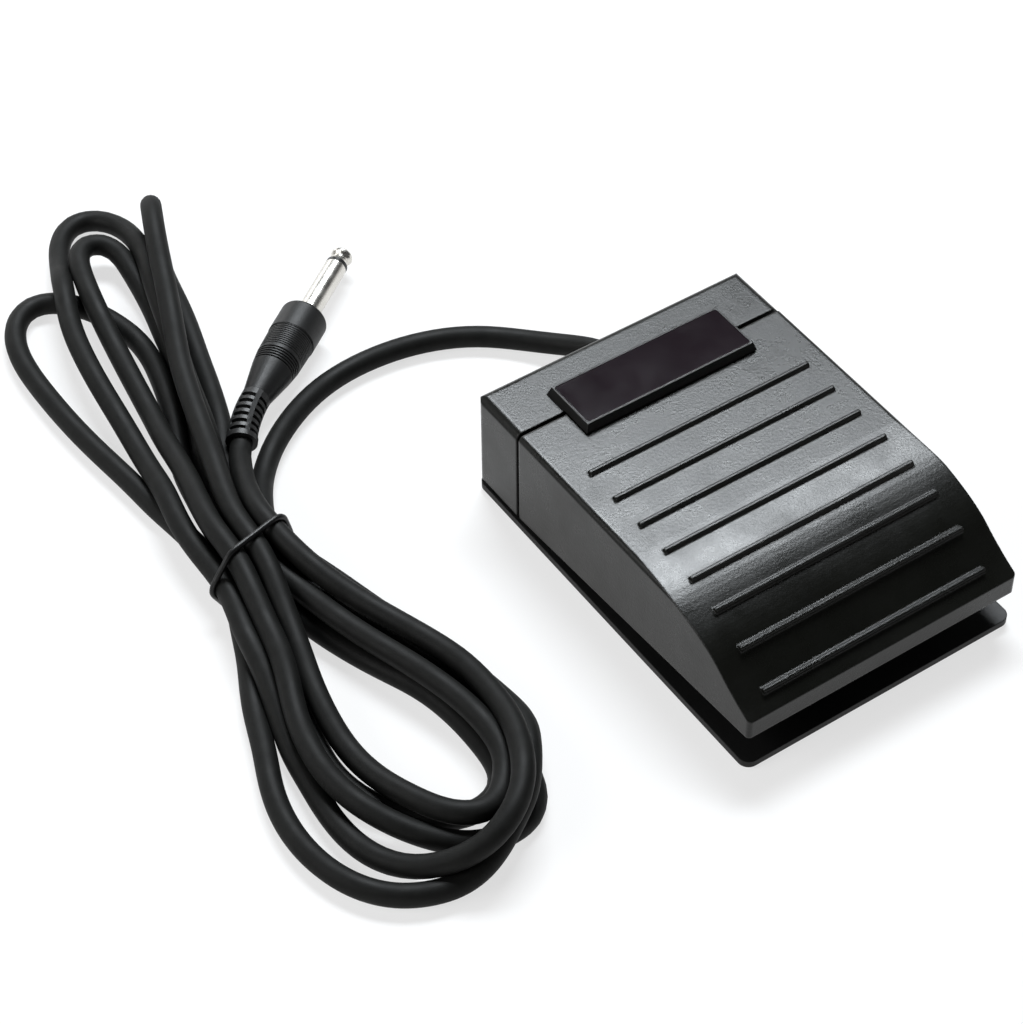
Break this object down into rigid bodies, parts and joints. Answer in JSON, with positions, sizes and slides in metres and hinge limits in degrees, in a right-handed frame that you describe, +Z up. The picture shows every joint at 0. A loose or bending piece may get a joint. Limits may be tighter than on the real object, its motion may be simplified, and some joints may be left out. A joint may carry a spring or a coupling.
{
  "type": "sustain pedal",
  "caption": "Foot pedal switch for a keyboard: a ribbed black treadle hinged over a flat base, with a rear housing, a tied hank of cord and a straight quarter-inch phone plug.",
  "frame": {"origin": "centre of the base footprint, on the floor under the rubber mat", "axes": "+X across the treadle, +Y from the nose to the cord side, +Z up"},
  "size_m": [0.1875, 0.2708, 0.0365],
  "materials": {
    "painted_base": "matte black powder coat",
    "mat_rubber": "matte",
    "shell_plastic": "satin, fine grain",
    "pad_plastic": "satin",
    "label_gloss": "gloss",
    "treadle_plastic": "satin, fine grain",
    "zinc_steel": "zinc plated",
    "pin_steel": "ground",
    "ivory_nylon": "satin",
    "spring_steel": "drawn wire",
    "switch_plastic": "satin",
    "contact_brass": "bright",
    "red_insulation": "satin",
    "black_insulation": "satin",
    "cord_jacket": "matte, fine grain",
    "boot_rubber": "matte",
    "tie_plastic": "satin",
    "plug_chrome": "polished",
    "insulator_plastic": "gloss",
    "handle_plastic": "satin"
  },
  "bodies": {
    "base": {"base_plate": "painted_base", "rubber_mat": "mat_rubber", "rear_housing": "shell_plastic", "name_pad": "pad_plastic", "name_label": "label_gloss", "hinge_bracket": "zinc_steel", "hinge_pin": "pin_steel", "pin_clips": "pin_steel", "rivets": "zinc_steel", "housing_screws": "zinc_steel", "down_stops": "mat_rubber", "spring_seat": "ivory_nylon", "return_spring": "spring_steel", "switch_bracket": "zinc_steel", "switch_body": "switch_plastic", "switch_terminals": "contact_brass", "switch_screws": "zinc_steel", "switch_nuts": "zinc_steel", "lever_pin": "pin_steel", "wire_red": "red_insulation", "wire_black": "black_insulation", "cord_end": "cord_jacket", "cord_gland": "boot_rubber", "cord_lead": "cord_jacket", "cord_hank": "cord_jacket", "cord_tail": "cord_jacket", "cord_tie": "tie_plastic", "plug_tip": "plug_chrome", "plug_insulator": "insulator_plastic", "plug_sleeve": "plug_chrome", "plug_handle": "handle_plastic", "plug_boot": "boot_rubber"},
    "treadle": {"treadle": "treadle_plastic"},
    "lever": {"switch_lever": "pin_steel"},
    "plunger": {"switch_plunger": "ivory_nylon"}
  },
  "joints": [
    {"name": "treadle_press", "type": "hinge", "parent": "base", "child": "treadle", "pos_m": [0, 0.046, 0.0082], "axis": [1, 0, 0], "range_deg": [0, 4.6], "stiffness_Nm_per_rad": 10, "springref_deg": -6.88, "deforming": ["return_spring"]},
    {"name": "lever_swing", "type": "hinge", "parent": "base", "child": "lever", "pos_m": [0.014, 0.027, 0.0206], "axis": [1, 0, 0], "range_deg": [0, 10.7]},
    {"name": "plunger_slide", "type": "slide", "parent": "base", "child": "plunger", "axis": [0, 0, -1], "range_m": [0, 0.00112]}
  ],
  "couplings": [
    {"joint": "lever_swing", "follows": "treadle_press", "ratio": 2.3},
    {"joint": "plunger_slide", "follows": "treadle_press", "m_per_rad": 0.0137}
  ]
}
